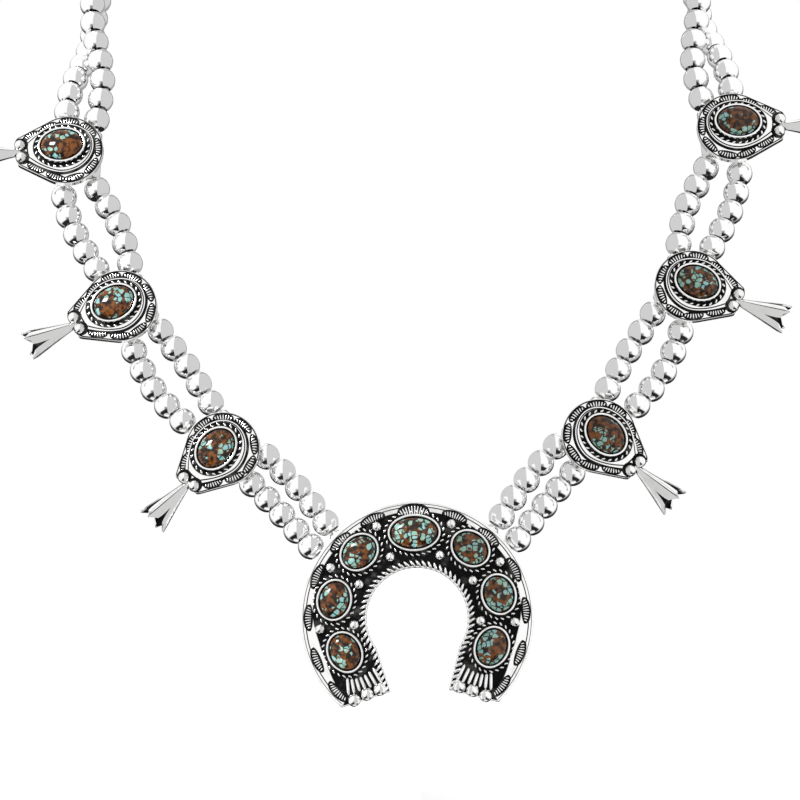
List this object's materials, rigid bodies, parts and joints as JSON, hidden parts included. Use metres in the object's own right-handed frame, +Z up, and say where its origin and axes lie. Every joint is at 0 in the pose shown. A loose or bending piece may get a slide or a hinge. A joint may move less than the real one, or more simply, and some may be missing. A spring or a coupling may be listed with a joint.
{
  "type": "squash blossom necklace",
  "caption": "Two-strand necklace of round silver beads with six blossom plates, oval turquoise stones and a horseshoe pendant.",
  "frame": {"origin": "nape of the neck: middle of the clasp's front face, where it rests on the back of the neck", "axes": "+Z up, the necklace's front faces -Y, +X to the right as seen from the front"},
  "size_m": [0.2274, 0.1287, 0.2275],
  "materials": {
    "silver_beads": "mirror-polished round silver beads",
    "silver_ornament": "polished silver with blackened recesses",
    "turquoise": "glossy turquoise with brown matrix",
    "thread": "fine braided wire"
  },
  "bodies": {
    "root": {"naja": "silver_ornament", "clasp": "silver_ornament", "naja_stone_1": "turquoise", "naja_stone_2": "turquoise", "naja_stone_3": "turquoise", "naja_stone_4": "turquoise", "naja_stone_5": "turquoise", "naja_stone_6": "turquoise", "naja_stone_7": "turquoise", "blossom_plate_low_left": "silver_ornament", "plate_stone_low_left": "turquoise", "blossom_plate_mid_left": "silver_ornament", "plate_stone_mid_left": "turquoise", "blossom_plate_top_left": "silver_ornament", "plate_stone_top_left": "turquoise", "bead_strand_inner_left": "silver_beads", "thread_inner_left": "thread", "bead_strand_outer_left": "silver_beads", "thread_outer_left": "thread", "blossom_plate_low_right": "silver_ornament", "plate_stone_low_right": "turquoise", "blossom_plate_mid_right": "silver_ornament", "plate_stone_mid_right": "turquoise", "blossom_plate_top_right": "silver_ornament", "plate_stone_top_right": "turquoise", "bead_strand_inner_right": "silver_beads", "thread_inner_right": "thread", "bead_strand_outer_right": "silver_beads", "thread_outer_right": "thread"}
  },
  "joints": []
}
